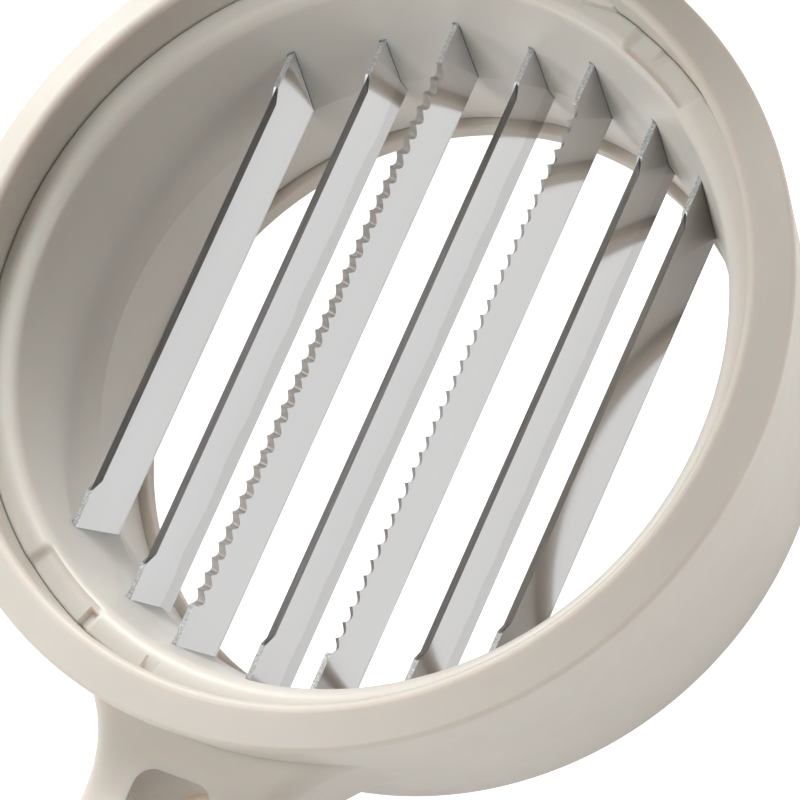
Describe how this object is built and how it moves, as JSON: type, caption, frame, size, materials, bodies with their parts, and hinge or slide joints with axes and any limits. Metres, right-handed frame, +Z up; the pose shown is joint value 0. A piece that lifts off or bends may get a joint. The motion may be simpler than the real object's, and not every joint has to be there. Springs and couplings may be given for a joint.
{
  "type": "egg slicer",
  "caption": "Hand-held egg slicer: a ring of upright steel blades on a slotted handle, hinged to a matching arm whose finned pusher presses an egg through the blades.",
  "frame": {"origin": "on the axis of the blade ring, in the plane its foot stands on", "axes": "+Z up along the ring's axis, -Y along the lower handle and +Y towards the hinge, +X across the blades, which are numbered along it; the stored pose has the upper arm fully open"},
  "size_m": [0.0796, 0.2776, 0.2129],
  "materials": {
    "frame_plastic": "warm grey moulded plastic, finely textured and slightly soft in sheen",
    "insert_plastic": "paler warm grey moulded plastic, satin",
    "blade_steel": "rolled stainless strip with a ground cutting edge",
    "pin_steel": "plain turned steel"
  },
  "bodies": {
    "lower": {"blade_frame": "frame_plastic", "blade_holder": "insert_plastic", "straight_blade_1": "blade_steel", "straight_blade_2": "blade_steel", "serrated_blade_3": "blade_steel", "straight_blade_4": "blade_steel", "serrated_blade_5": "blade_steel", "straight_blade_6": "blade_steel", "straight_blade_7": "blade_steel", "hinge_pin": "pin_steel"},
    "upper": {"pusher_arm": "frame_plastic", "pusher": "insert_plastic"}
  },
  "joints": [
    {"name": "arm_hinge", "type": "hinge", "parent": "lower", "child": "upper", "pos_m": [0, 0.04753, 0.0275], "axis": [1, 0, 0], "range_deg": [0, 110]}
  ]
}
